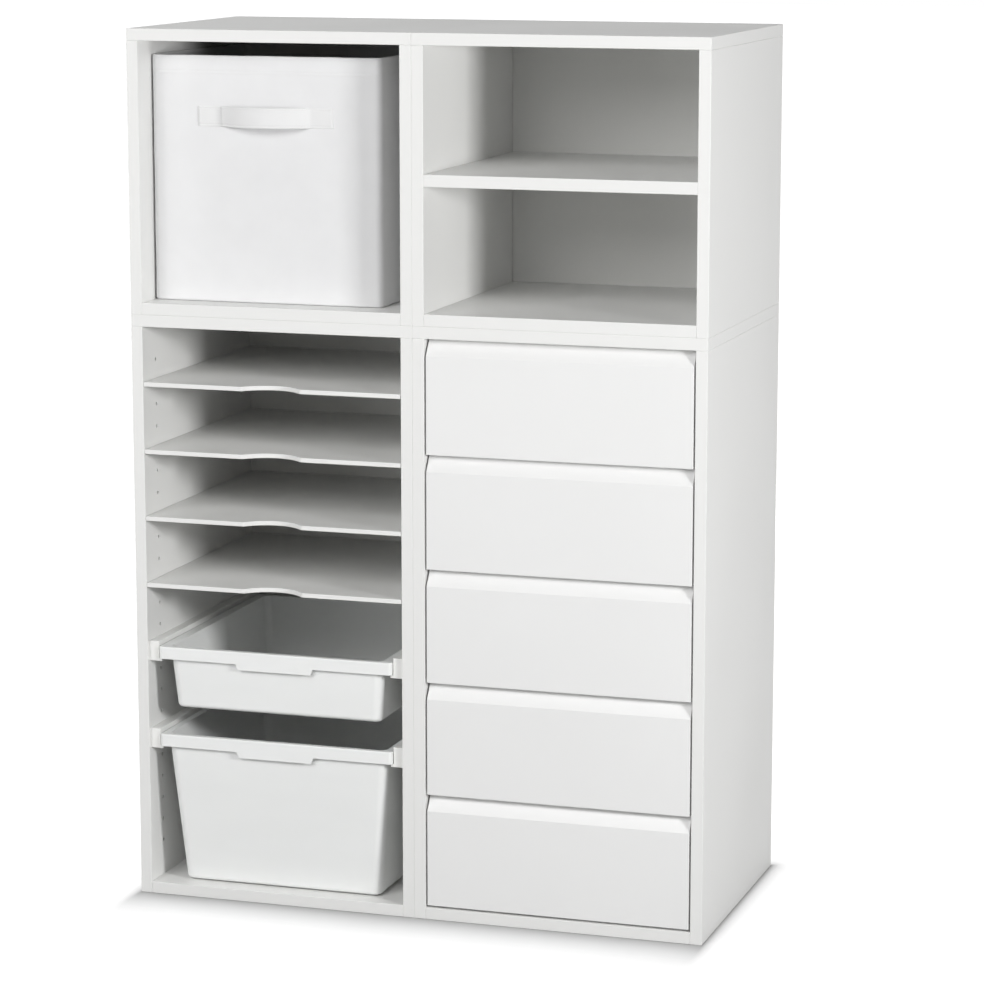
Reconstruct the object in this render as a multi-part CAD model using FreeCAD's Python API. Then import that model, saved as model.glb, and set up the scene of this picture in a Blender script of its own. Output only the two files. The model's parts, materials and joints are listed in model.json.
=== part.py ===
"""Modular craft storage stack: two cube cases standing on two tall cases, two wide and two high.

Upper left holds a soft fabric bin, upper right one shelf, lower left four thin paper shelves over
two hanging plastic bins, and lower right a column of drawers with bevelled finger pulls.
Millimetres. X runs to the right, Y from the front to the rear, Z up. The origin is under the middle
of the stack, on the surface it stands on.
"""
import FreeCAD, Part
import math
import os

V = FreeCAD.Vector

# ---------------------------------------------------------------- cases
PANEL = 16.0                 # thickness of every case board
CASE_WIDTH = 394.0
CASE_DEPTH = 387.0
CUBE_HEIGHT = 376.0
BACK_THICKNESS = 8.0
EDGE_ROUND = 0.8             # rounding of the banded board edges

# ---------------------------------------------------------------- shelf pin rows of the tall cases
HOLE_ROWS = 23
HOLE_PITCH = 30.2
FIRST_ROW_HEIGHT = 63.9      # lowest row above the underside of the case
TOP_ROW_MARGIN = 48.7        # highest row below the underside of the top board
HOLE_SETBACK = 42.6          # column of holes from the front edge, and from the rear edge
HOLE_RADIUS = 2.5
HOLE_DEPTH = 11.0
PIN_FIT = 0.1                # radial room of a pin or screw in its hole

# ---------------------------------------------------------------- dowels that join the boards
DOWEL_RADIUS = 4.0
DOWEL_LENGTH = 24.0
DOWEL_FIT = 0.05
DOWEL_END_ROOM = 0.5
DOWEL_INSET = 62.0           # from the front edge and from the rear edge
DOWEL_CHAMFER = 0.8
STACK_DOWEL_SPREAD = 60.0    # stacking dowels from the side boards

# ---------------------------------------------------------------- paper shelves and the cube shelf
PAPER_SHELF_COUNT = 4
PAPER_SHELF_THICKNESS = 6.0
LOWEST_SHELF_ROW = 12
SHELF_ROW_STEP = 3
SHELF_END_GAP = 0.6
SHELF_REAR_GAP = 1.0
SHELF_EDGE_ROUND = 0.6
NOTCH_WIDTH = 86.0           # along the shelf's front edge
NOTCH_DEPTH = 20.5
NOTCH_CORNER = 6.0           # rounding where the notch runs out into the front edge
SPOON_LENGTH = 8.0
SPOON_WIDTH = 9.0
SPOON_THICKNESS = 1.6
SEAT_BELOW_ROW = 1.0         # top of a shelf pin's spoon under the axis of its peg
PEG_LENGTH = 9.5

# ---------------------------------------------------------------- plastic bins and their rails
DEEP_BIN_ROW = 5
SHALLOW_BIN_ROW = 9
SHALLOW_BIN_DEPTH = 85.0
BIN_FLOOR_CLEARANCE = 2.0    # deep bin above the bottom board
RAIL_WALL = 14.0
RAIL_LEDGE = 4.0             # ledge past the rail's wall
RAIL_LEDGE_THICKNESS = 4.0
RAIL_SETBACK = 5.0
RAIL_REAR_GAP = 6.0
RAIL_ROUND = 0.8
RIM_TOP_ABOVE_ROW = 9.0
RAIL_TOP_ABOVE_RIM = 6.0
RIM_HEIGHT = 16.7
RIM_SIDE_PLAY = 1.0          # rim to rail wall
RIM_SETBACK = 0.5
RIM_REAR_GAP = 18.0
RIM_WALL = 2.6
RIM_CORNER = 5.0
RIM_ROUND = 1.6
RIM_OVERHANG = 5.0           # rim past the body at the front and at the rear
SHALLOW_SIDE_OVERHANG = 12.5
DEEP_SIDE_OVERHANG = 8.0
TAB_WIDTH = 110.0
TAB_DROP = 8.0
TAB_SLOPE = 4.0
BIN_WALL = 2.4
BIN_DRAFT_DEG = 4.8
BIN_CORNER = 12.0
BIN_FLOOR_ROUND = 6.0
RUNNING_GAP = 0.3            # sliding pieces above what carries them

# ---------------------------------------------------------------- drawers
DRAWER_COUNT = 5
DRAWER_FLOOR_GAP = 3.0       # lowest front above the bottom board
FRONT_SETBACK = 0.4
FRONT_THICKNESS = 16.0
FRONT_SIDE_GAP = 2.3
FINGER_SLOT = 2.0            # open height over each front
BEVEL_HEIGHT = 20.5
BEVEL_DEPTH = 13.5
BOX_BOARD = 12.0
BOX_SIDE_GAP = 3.0
BOX_REAR_GAP = 17.0
BOX_LIFT = 14.0              # underside of the box sides above the front's lower edge
BOX_BELOW_FRONT_TOP = 3.6
DRAWER_BOTTOM = 4.0
BOTTOM_GROOVE_DEPTH = 5.0
BOTTOM_GROOVE_LIFT = 6.0
GROOVE_FIT = 0.2
RUNNER_WIDTH = 12.5
RUNNER_HEIGHT = 12.0
RUNNER_REAR_GAP = 5.0
RUNNER_FRONT_GAP = 3.0

# ---------------------------------------------------------------- screws of rails and runners
SCREW_RADIUS = 2.4
SCREW_BITE = 9.5
SCREW_HEAD_RADIUS = 4.2
SCREW_HEAD_HEIGHT = 2.0
SCREW_SOCKET_RADIUS = 1.5
SCREW_SOCKET_DEPTH = 2.5

# ---------------------------------------------------------------- fabric bin
FABRIC_RECESS = 40.0         # front of the bin behind the front of the case
FABRIC_LEFT_GAP = 1.0
FABRIC_RIGHT_GAP = 39.0
FABRIC_HEADROOM = 19.5
FABRIC_REAR_GAP = 14.0
FABRIC_WALL = 4.0
FABRIC_CORNER = 9.0
BASE_BOARD = 3.0
BASE_BOARD_GAP = 1.0
HANDLE_LENGTH = 190.0
HANDLE_WIDTH = 27.0
HANDLE_THICKNESS = 2.6
HANDLE_BULGE = 17.0
HANDLE_TAB = 35.0
HANDLE_BELOW_RIM = 66.0      # upper edge of the strap under the bin's upper edge

# ---------------------------------------------------------------- worked out
FRONT = -CASE_DEPTH / 2
REAR = CASE_DEPTH / 2
BACK_FACE = REAR - BACK_THICKNESS
TALL_HEIGHT = FIRST_ROW_HEIGHT + (HOLE_ROWS - 1) * HOLE_PITCH + TOP_ROW_MARGIN + PANEL
CAP = 1.0                    # how far a cutting tool stands out of the face it opens
NEAR = 1e-4                  # places closer than this count as the same


class Case:
    """One open-fronted case: its name, its left face, its underside and its height."""

    def __init__(self, name, left, base, height):
        self.name = name
        self.left = left
        self.base = base
        self.top = base + height
        self.right = left + CASE_WIDTH
        self.inner_left = self.left + PANEL
        self.inner_right = self.right - PANEL
        self.floor = self.base + PANEL
        self.ceiling = self.top - PANEL
        self.middle = (self.left + self.right) / 2


LOWER_LEFT = Case("lower_left", -CASE_WIDTH, 0.0, TALL_HEIGHT)
LOWER_RIGHT = Case("lower_right", 0.0, 0.0, TALL_HEIGHT)
UPPER_LEFT = Case("upper_left", -CASE_WIDTH, TALL_HEIGHT, CUBE_HEIGHT)
UPPER_RIGHT = Case("upper_right", 0.0, TALL_HEIGHT, CUBE_HEIGHT)
CASES = [UPPER_LEFT, UPPER_RIGHT, LOWER_LEFT, LOWER_RIGHT]
STACKS = [(LOWER_LEFT, UPPER_LEFT), (LOWER_RIGHT, UPPER_RIGHT)]


# ---------------------------------------------------------------- basic shapes
def block(x, y, z):
    """A box between two corners, given as a low and a high value on each axis."""
    return Part.makeBox(x[1] - x[0], y[1] - y[0], z[1] - z[0], V(x[0], y[0], z[0]))


def board(x, y, z, radius=EDGE_ROUND):
    """A box with every edge slightly rounded."""
    box = block(x, y, z)
    return box.makeFillet(radius, box.Edges)


def rod_along_x(radius, x, y, z):
    """A cylinder between two values of X."""
    return Part.makeCylinder(radius, x[1] - x[0], V(x[0], y, z), V(1, 0, 0))


def rod(centre, direction, length, radius):
    """A cylinder whose middle is at centre."""
    start = centre - direction * (length / 2)
    return Part.makeCylinder(radius, length, start, direction)


def prism(points, push):
    """A closed polygon pushed along a vector."""
    return Part.Face(Part.makePolygon(points + [points[0]])).extrude(push)


def rounded_rectangle(x, y, z, radius):
    """A closed wire at height z: a rectangle with quarter-circle corners."""
    corner_centres = [
        (x[1] - radius, y[1] - radius),
        (x[0] + radius, y[1] - radius),
        (x[0] + radius, y[0] + radius),
        (x[1] - radius, y[0] + radius),
    ]
    edges = []
    previous_end = None
    first_start = None
    for quarter, (cx, cy) in enumerate(corner_centres):
        points = []
        for share in (0.0, 0.5, 1.0):
            angle = (quarter + share) * math.pi / 2
            points.append(V(cx + radius * math.cos(angle), cy + radius * math.sin(angle), z))
        if previous_end is None:
            first_start = points[0]
        else:
            edges.append(Part.LineSegment(previous_end, points[0]).toShape())
        edges.append(Part.Arc(*points).toShape())
        previous_end = points[2]
    edges.append(Part.LineSegment(previous_end, first_start).toShape())
    return Part.Wire(edges)


def mirrored_x(shape, middle):
    """The same shape on the other side of a plane across X."""
    return shape.mirror(V(middle, 0, 0), V(1, 0, 0))


def edges_at_height(shape, height):
    """Edges that lie wholly at one height."""
    found = []
    for edge in shape.Edges:
        box = edge.BoundBox
        if abs(box.ZMin - height) < NEAR and abs(box.ZMax - height) < NEAR:
            found.append(edge)
    return found


# ---------------------------------------------------------------- dowels and holes
def dowel_places(case):
    """Middles and directions of the dowels in one case, with those of its stack partner's joint."""
    places = []
    for y in (FRONT + DOWEL_INSET, REAR - DOWEL_INSET):
        for wall in (case.left + PANEL / 2, case.right - PANEL / 2):
            places.append((V(wall, y, case.ceiling), V(0, 0, 1)))
        for wall in (case.inner_left, case.inner_right):
            places.append((V(wall, y, case.base + PANEL / 2), V(1, 0, 0)))
            if case is UPPER_RIGHT:
                places.append((V(wall, y, (case.floor + case.ceiling) / 2), V(1, 0, 0)))
    return places


def stack_dowel_places(lower):
    """Dowels between the top board of a tall case and the bottom board of the cube on it."""
    places = []
    for y in (FRONT + DOWEL_INSET, REAR - DOWEL_INSET):
        for x in (lower.inner_left + STACK_DOWEL_SPREAD, lower.inner_right - STACK_DOWEL_SPREAD):
            places.append((V(x, y, lower.top), V(0, 0, 1)))
    return places


def all_dowel_places():
    places = []
    for case in CASES:
        places += dowel_places(case)
    for lower, _upper in STACKS:
        places += stack_dowel_places(lower)
    return places


def dowel(centre, direction):
    pin = rod(centre, direction, DOWEL_LENGTH, DOWEL_RADIUS)
    rims = [edge for edge in pin.Edges if len(edge.Vertexes) == 1]
    return pin.makeChamfer(DOWEL_CHAMFER, rims)


def dowel_holes(case):
    """Cutting tools for every dowel that reaches into a case."""
    places = dowel_places(case)
    for lower, upper in STACKS:
        if case in (lower, upper):
            places += stack_dowel_places(lower)
    length = DOWEL_LENGTH + 2 * DOWEL_END_ROOM
    return [rod(at, along, length, DOWEL_RADIUS + DOWEL_FIT) for at, along in places]


def row_height(row):
    """Axis of one row of pin holes, counted from 0 at the lowest."""
    return FIRST_ROW_HEIGHT + row * HOLE_PITCH


def hole_columns():
    return (FRONT + HOLE_SETBACK, REAR - HOLE_SETBACK)


def side_holes(case):
    """Blind holes in the inner faces of a tall case's side boards."""
    if case is LOWER_LEFT:
        heights = [row_height(row) for row in range(HOLE_ROWS)]
    elif case is LOWER_RIGHT:
        heights = [runner_top(number) - RUNNER_HEIGHT / 2 for number in drawer_numbers()]
    else:
        heights = []
    tools = []
    for z in heights:
        for y in hole_columns():
            left_hole = Part.makeCylinder(
                HOLE_RADIUS, HOLE_DEPTH + CAP, V(case.inner_left - HOLE_DEPTH, y, z), V(1, 0, 0)
            )
            tools.append(left_hole)
            tools.append(mirrored_x(left_hole, case.middle))
    return tools


# ---------------------------------------------------------------- cases
def case_boards(case):
    """Top over the sides, bottom between them, and the back let in flush with the rear."""
    depth = (FRONT, REAR)
    side_span = (case.base, case.ceiling)
    inner_span = (case.inner_left, case.inner_right)
    boards = {
        "top": board((case.left, case.right), depth, (case.ceiling, case.top)),
        "bottom": board(inner_span, depth, (case.base, case.floor)),
        "left_side": board((case.left, case.inner_left), depth, side_span),
        "right_side": board((case.inner_right, case.right), depth, side_span),
        "back": board(inner_span, (BACK_FACE, REAR), (case.floor, case.ceiling)),
    }
    tools = dowel_holes(case)
    for key in ("top", "bottom", "left_side", "right_side"):
        cutters = tools + side_holes(case) if key.endswith("side") else tools
        boards[key] = boards[key].cut(cutters)
    return {f"{case.name}_{key}": shape for key, shape in boards.items()}


def cube_shelf():
    case = UPPER_RIGHT
    middle = (case.floor + case.ceiling) / 2
    shelf = board(
        (case.inner_left, case.inner_right),
        (FRONT, BACK_FACE),
        (middle - PANEL / 2, middle + PANEL / 2),
    )
    return {"upper_right_shelf": shelf.cut(dowel_holes(case))}


# ---------------------------------------------------------------- paper shelves
def shelf_seat(number):
    """Underside of a paper shelf, numbered from 1 at the top."""
    row = LOWEST_SHELF_ROW + SHELF_ROW_STEP * (PAPER_SHELF_COUNT - number)
    return row_height(row) - SEAT_BELOW_ROW


def notch_edges(middle, z):
    """A shallow bow with rounded ends that leaves the front edge of a shelf and comes back to it."""
    half = NOTCH_WIDTH / 2
    bow = (half ** 2 + NOTCH_DEPTH ** 2) / (2 * NOTCH_DEPTH) - NOTCH_CORNER
    centre = FRONT + NOTCH_DEPTH - bow
    lean = math.atan2(half, FRONT + NOTCH_CORNER - centre)
    edges = []
    for side in (-1, 1):
        run_out = middle + side * half
        meeting = V(middle + side * bow * math.sin(lean), centre + bow * math.cos(lean), z)
        between = V(
            run_out - side * NOTCH_CORNER * math.sin(lean / 2),
            FRONT + NOTCH_CORNER - NOTCH_CORNER * math.cos(lean / 2),
            z,
        )
        edges.append(Part.Arc(V(run_out, FRONT, z), between, meeting).toShape())
    ends = [edge.Vertexes[-1].Point for edge in edges]
    edges.append(Part.Arc(ends[0], V(middle, FRONT + NOTCH_DEPTH, z), ends[1]).toShape())
    return edges


def paper_shelf(number):
    """A thin board with a finger notch in the middle of its front edge."""
    case = LOWER_LEFT
    seat = shelf_seat(number)
    left = case.inner_left + SHELF_END_GAP
    right = case.inner_right - SHELF_END_GAP
    rear = BACK_FACE - SHELF_REAR_GAP
    corners = [
        V(case.middle - NOTCH_WIDTH / 2, FRONT, seat),
        V(left, FRONT, seat),
        V(left, rear, seat),
        V(right, rear, seat),
        V(right, FRONT, seat),
        V(case.middle + NOTCH_WIDTH / 2, FRONT, seat),
    ]
    edges = notch_edges(case.middle, seat)
    for start, end in zip(corners, corners[1:]):
        edges.append(Part.LineSegment(start, end).toShape())
    outline = Part.Wire(Part.__sortEdges__(edges))
    shelf = Part.Face(outline).extrude(V(0, 0, PAPER_SHELF_THICKNESS))
    top = seat + PAPER_SHELF_THICKNESS
    return shelf.makeFillet(SHELF_EDGE_ROUND, edges_at_height(shelf, seat) + edges_at_height(shelf, top))


def shelf_pin(y, axis_height):
    """A peg in the left side board with a flat spoon that stands out under the shelf."""
    face = LOWER_LEFT.inner_left
    peg = rod_along_x(HOLE_RADIUS - PIN_FIT, (face - PEG_LENGTH, face), y, axis_height)
    seat = axis_height - SEAT_BELOW_ROW
    spoon = block(
        (face, face + SPOON_LENGTH),
        (y - SPOON_WIDTH / 2, y + SPOON_WIDTH / 2),
        (seat - SPOON_THICKNESS, seat),
    )
    return peg.fuse(spoon).removeSplitter()


def shelf_pins():
    pins = []
    for number in range(1, PAPER_SHELF_COUNT + 1):
        for y in hole_columns():
            pin = shelf_pin(y, shelf_seat(number) + SEAT_BELOW_ROW)
            pins.append(pin)
            pins.append(mirrored_x(pin, LOWER_LEFT.middle))
    return pins


# ---------------------------------------------------------------- plastic bins
def rim_top(row):
    return row_height(row) + RIM_TOP_ABOVE_ROW


def ledge_top(row):
    return rim_top(row) - RIM_HEIGHT - RUNNING_GAP


def bin_rail(row):
    """Left rail of a bin: a wall on the side board and a ledge under the rim."""
    face = LOWER_LEFT.inner_left
    low = ledge_top(row) - RAIL_LEDGE_THICKNESS
    high = rim_top(row) + RAIL_TOP_ABOVE_RIM
    start = FRONT + RAIL_SETBACK
    outline = [
        V(face, start, low),
        V(face + RAIL_WALL + RAIL_LEDGE, start, low),
        V(face + RAIL_WALL + RAIL_LEDGE, start, ledge_top(row)),
        V(face + RAIL_WALL, start, ledge_top(row)),
        V(face + RAIL_WALL, start, high),
        V(face, start, high),
    ]
    rail = prism(outline, V(0, BACK_FACE - RAIL_REAR_GAP - start, 0))
    front_edges = [edge for edge in rail.Edges if edge.BoundBox.YMax < start + NEAR]
    inner_corner = V(face + RAIL_WALL, start, ledge_top(row))
    rounded = []
    for edge in front_edges:
        middle = edge.valueAt((edge.FirstParameter + edge.LastParameter) / 2)
        if middle.x > face + NEAR and middle.distanceToPoint(inner_corner) > RAIL_LEDGE:
            rounded.append(edge)
    rail = rail.makeFillet(RAIL_ROUND, rounded)
    return rail.cut(screw_holes(face, RAIL_WALL, row_height(row)))


def bin_rails():
    rails = []
    for row in (SHALLOW_BIN_ROW, DEEP_BIN_ROW):
        rail = bin_rail(row)
        rails.append(rail)
        rails.append(mirrored_x(rail, LOWER_LEFT.middle))
    return rails


def tapered_body(x, y, low, high, corner):
    """A loft that narrows downwards by the draft angle, with rounded upright corners."""
    draft = (high - low) * math.tan(math.radians(BIN_DRAFT_DEG))
    upper = rounded_rectangle(x, y, high, corner)
    lower = rounded_rectangle((x[0] + draft, x[1] - draft), (y[0] + draft, y[1] - draft), low, corner)
    return Part.makeLoft([lower, upper], True, True)


def bin_tab(x_middle, front, skirt_foot):
    """The rim's lowered finger tab in the middle of the front skirt."""
    half = TAB_WIDTH / 2
    outline = [
        V(x_middle - half, front, skirt_foot),
        V(x_middle - half + TAB_SLOPE, front, skirt_foot - TAB_DROP),
        V(x_middle + half - TAB_SLOPE, front, skirt_foot - TAB_DROP),
        V(x_middle + half, front, skirt_foot),
        V(x_middle + half, front, skirt_foot + TAB_DROP),
        V(x_middle - half, front, skirt_foot + TAB_DROP),
    ]
    return prism(outline, V(0, RIM_WALL, 0))


def plastic_bin(row, depth, side_overhang):
    """A tub with a tapered body under a wide rim whose skirt hangs down all round."""
    case = LOWER_LEFT
    top = rim_top(row)
    foot = top - RIM_HEIGHT
    low = top - depth
    side = RAIL_WALL + RIM_SIDE_PLAY
    rim_x = (case.inner_left + side, case.inner_right - side)
    rim_y = (FRONT + RIM_SETBACK, BACK_FACE - RIM_REAR_GAP)

    outer = Part.Face(rounded_rectangle(rim_x, rim_y, foot, RIM_CORNER)).extrude(V(0, 0, RIM_HEIGHT))
    outer = outer.makeFillet(RIM_ROUND, edges_at_height(outer, top))
    hollow = rounded_rectangle(
        (rim_x[0] + RIM_WALL, rim_x[1] - RIM_WALL),
        (rim_y[0] + RIM_WALL, rim_y[1] - RIM_WALL),
        foot - CAP,
        RIM_CORNER - RIM_WALL,
    )
    hollow = Part.Face(hollow).extrude(V(0, 0, RIM_HEIGHT + CAP - RIM_WALL))
    skirt = outer.cut(hollow)

    body_x = (rim_x[0] + side_overhang, rim_x[1] - side_overhang)
    body_y = (rim_y[0] + RIM_OVERHANG, rim_y[1] - RIM_OVERHANG)
    body = tapered_body(body_x, body_y, low, top, BIN_CORNER)
    body = body.makeFillet(BIN_FLOOR_ROUND, edges_at_height(body, low))
    inside = tapered_body(
        (body_x[0] + BIN_WALL, body_x[1] - BIN_WALL),
        (body_y[0] + BIN_WALL, body_y[1] - BIN_WALL),
        low + BIN_WALL,
        top + CAP,
        BIN_CORNER - BIN_WALL,
    )
    inside = inside.makeFillet(BIN_FLOOR_ROUND - BIN_WALL, edges_at_height(inside, low + BIN_WALL))
    tub = skirt.fuse([body, bin_tab(case.middle, rim_y[0], foot)]).cut(inside)
    return tub.removeSplitter()


# ---------------------------------------------------------------- drawers
def drawer_numbers():
    """Drawers are numbered from 1 at the top."""
    return range(1, DRAWER_COUNT + 1)


def drawer_pitch():
    return (LOWER_RIGHT.ceiling - LOWER_RIGHT.floor - DRAWER_FLOOR_GAP) / DRAWER_COUNT


def front_foot(number):
    """Lower edge of a drawer front."""
    return LOWER_RIGHT.floor + DRAWER_FLOOR_GAP + (DRAWER_COUNT - number) * drawer_pitch()


def front_head(number):
    return front_foot(number) + drawer_pitch() - FINGER_SLOT


def box_foot(number):
    return front_foot(number) + BOX_LIFT


def runner_top(number):
    return box_foot(number) - RUNNING_GAP


def drawer_front(number):
    """An inset front whose upper edge is bevelled backwards as a finger pull."""
    case = LOWER_RIGHT
    left = case.inner_left + FRONT_SIDE_GAP
    right = case.inner_right - FRONT_SIDE_GAP
    face = FRONT + FRONT_SETBACK
    foot = front_foot(number)
    head = front_head(number)
    outline = [
        V(left, face, foot),
        V(left, face, head - BEVEL_HEIGHT),
        V(left, face + BEVEL_DEPTH, head),
        V(left, face + FRONT_THICKNESS, head),
        V(left, face + FRONT_THICKNESS, foot),
    ]
    front = prism(outline, V(right - left, 0, 0))
    return front.makeFillet(EDGE_ROUND, front.Edges)


def drawer_boards(number):
    """Front, two sides, back and bottom of one drawer."""
    case = LOWER_RIGHT
    box_left = case.inner_left + BOX_SIDE_GAP
    box_right = case.inner_right - BOX_SIDE_GAP
    start = FRONT + FRONT_SETBACK + FRONT_THICKNESS
    end = BACK_FACE - BOX_REAR_GAP
    foot = box_foot(number)
    head = front_head(number) - BOX_BELOW_FRONT_TOP
    span = (foot, head)
    left_side = board((box_left, box_left + BOX_BOARD), (start, end), span)
    right_side = board((box_right - BOX_BOARD, box_right), (start, end), span)

    floor = foot + BOTTOM_GROOVE_LIFT
    reach = BOTTOM_GROOVE_DEPTH - GROOVE_FIT
    bottom = block(
        (box_left + BOX_BOARD - reach, box_right - BOX_BOARD + reach),
        (start - reach, end),
        (floor, floor + DRAWER_BOTTOM),
    )
    groove = block(
        (box_left + BOX_BOARD - BOTTOM_GROOVE_DEPTH, box_right - BOX_BOARD + BOTTOM_GROOVE_DEPTH),
        (start - BOTTOM_GROOVE_DEPTH, end + CAP),
        (floor - GROOVE_FIT, floor + DRAWER_BOTTOM + GROOVE_FIT),
    )
    back = board(
        (box_left + BOX_BOARD, box_right - BOX_BOARD),
        (end - BOX_BOARD, end),
        (floor + DRAWER_BOTTOM, head),
    )
    shapes = {
        "front": drawer_front(number).cut(groove),
        "left_side": left_side.cut(groove),
        "right_side": right_side.cut(groove),
        "back": back,
        "bottom": bottom,
    }
    return {f"drawer_{number}_{key}": shape for key, shape in shapes.items()}


def drawer_runners():
    """Plain strips on the side boards: each box side slides along the top of one."""
    case = LOWER_RIGHT
    start = FRONT + FRONT_SETBACK + FRONT_THICKNESS + RUNNER_FRONT_GAP
    strips = []
    for number in drawer_numbers():
        high = runner_top(number)
        strip = board(
            (case.inner_left, case.inner_left + RUNNER_WIDTH),
            (start, BACK_FACE - RUNNER_REAR_GAP),
            (high - RUNNER_HEIGHT, high),
        )
        strip = strip.cut(screw_holes(case.inner_left, RUNNER_WIDTH, high - RUNNER_HEIGHT / 2))
        strips.append(strip)
        strips.append(mirrored_x(strip, case.middle))
    return strips


# ---------------------------------------------------------------- screws
def countersink(face, y, z, room):
    """The cone under a screw head; face is where the head is flush, and the tip points to -X."""
    tip = V(face - SCREW_HEAD_HEIGHT, y, z)
    wide = SCREW_HEAD_RADIUS + room
    return Part.makeCone(SCREW_RADIUS + room, wide, SCREW_HEAD_HEIGHT, tip, V(1, 0, 0))


def screw_holes(face, thickness, z):
    """Countersunk holes through a strip that lies on a left side board's inner face."""
    outer = face + thickness
    tools = []
    for y in hole_columns():
        shaft = rod_along_x(SCREW_RADIUS + PIN_FIT, (face - CAP, outer + CAP), y, z)
        tools.append(shaft.fuse(countersink(outer, y, z, PIN_FIT)))
    return tools


def screw(face, thickness, y, z):
    """A countersunk screw through a strip into the left side board, its socket facing inwards."""
    outer = face + thickness
    shaft = rod_along_x(SCREW_RADIUS, (face - SCREW_BITE, outer), y, z)
    socket = rod_along_x(SCREW_SOCKET_RADIUS, (outer - SCREW_SOCKET_DEPTH, outer + CAP), y, z)
    return shaft.fuse(countersink(outer, y, z, 0.0)).cut(socket).removeSplitter()


def strip_screws():
    """Two screws in every bin rail and drawer runner, on both sides of its case."""
    places = [(LOWER_LEFT, RAIL_WALL, row_height(row)) for row in (SHALLOW_BIN_ROW, DEEP_BIN_ROW)]
    for number in drawer_numbers():
        places.append((LOWER_RIGHT, RUNNER_WIDTH, runner_top(number) - RUNNER_HEIGHT / 2))
    screws = []
    for case, thickness, z in places:
        for y in hole_columns():
            one = screw(case.inner_left, thickness, y, z)
            screws.append(one)
            screws.append(mirrored_x(one, case.middle))
    return screws


# ---------------------------------------------------------------- fabric bin
def fabric_bin_span():
    """Outer box of the soft bin, which stands on the bottom board towards the left."""
    case = UPPER_LEFT
    x = (case.inner_left + FABRIC_LEFT_GAP, case.inner_right - FABRIC_RIGHT_GAP)
    y = (FRONT + FABRIC_RECESS, BACK_FACE - FABRIC_REAR_GAP)
    z = (case.floor + RUNNING_GAP, case.ceiling - FABRIC_HEADROOM)
    return x, y, z


def inset(span, amount):
    return (span[0] + amount, span[1] - amount)


def fabric_bin_body():
    """An open-topped soft box of padded fabric walls."""
    x, y, z = fabric_bin_span()
    outer = Part.Face(rounded_rectangle(x, y, z[0], FABRIC_CORNER)).extrude(V(0, 0, z[1] - z[0]))
    inner_outline = rounded_rectangle(
        inset(x, FABRIC_WALL), inset(y, FABRIC_WALL), z[0] + FABRIC_WALL, FABRIC_CORNER - FABRIC_WALL
    )
    inner = Part.Face(inner_outline).extrude(V(0, 0, z[1] - z[0]))
    return outer.cut(inner)


def fabric_bin_base_board():
    """The loose stiff board on the bin's floor."""
    x, y, z = fabric_bin_span()
    gap = FABRIC_WALL + BASE_BOARD_GAP
    low = z[0] + FABRIC_WALL
    outline = rounded_rectangle(inset(x, gap), inset(y, gap), low, FABRIC_CORNER - FABRIC_WALL)
    return Part.Face(outline).extrude(V(0, 0, BASE_BOARD))


def handle_arc(middle, half, foot, bulge, z):
    """An arc that bows forwards from the bin's front and back to it, from the right to the left."""
    crest = V(middle, foot - bulge, z)
    return Part.Arc(V(middle + half, foot, z), crest, V(middle - half, foot, z)).toShape()


def fabric_bin_handle():
    """A flat strap sewn on at both ends, its middle standing out as a grip."""
    x, y, z = fabric_bin_span()
    middle = (x[0] + x[1]) / 2
    wall = y[0]
    half = HANDLE_LENGTH / 2
    bow = half - HANDLE_TAB
    low = z[1] - HANDLE_BELOW_RIM - HANDLE_WIDTH
    front = wall - HANDLE_THICKNESS
    right_tab = [
        V(middle + bow, wall, low),
        V(middle + half, wall, low),
        V(middle + half, front, low),
        V(middle + bow, front, low),
    ]
    left_tab = [
        V(middle - bow, front, low),
        V(middle - half, front, low),
        V(middle - half, wall, low),
        V(middle - bow, wall, low),
    ]
    edges = [handle_arc(middle, bow, front, HANDLE_BULGE, low)]
    inner_bow = bow - HANDLE_THICKNESS
    inner_left = V(middle - inner_bow, wall, low)
    inner_right = V(middle + inner_bow, wall, low)
    for start, end in zip(left_tab, left_tab[1:]):
        edges.append(Part.LineSegment(start, end).toShape())
    edges.append(Part.LineSegment(left_tab[-1], inner_left).toShape())
    edges.append(handle_arc(middle, inner_bow, wall, HANDLE_BULGE, low))
    edges.append(Part.LineSegment(inner_right, right_tab[0]).toShape())
    for start, end in zip(right_tab, right_tab[1:]):
        edges.append(Part.LineSegment(start, end).toShape())
    outline = Part.Wire(Part.__sortEdges__(edges))
    return Part.Face(outline).extrude(V(0, 0, HANDLE_WIDTH))


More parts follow.
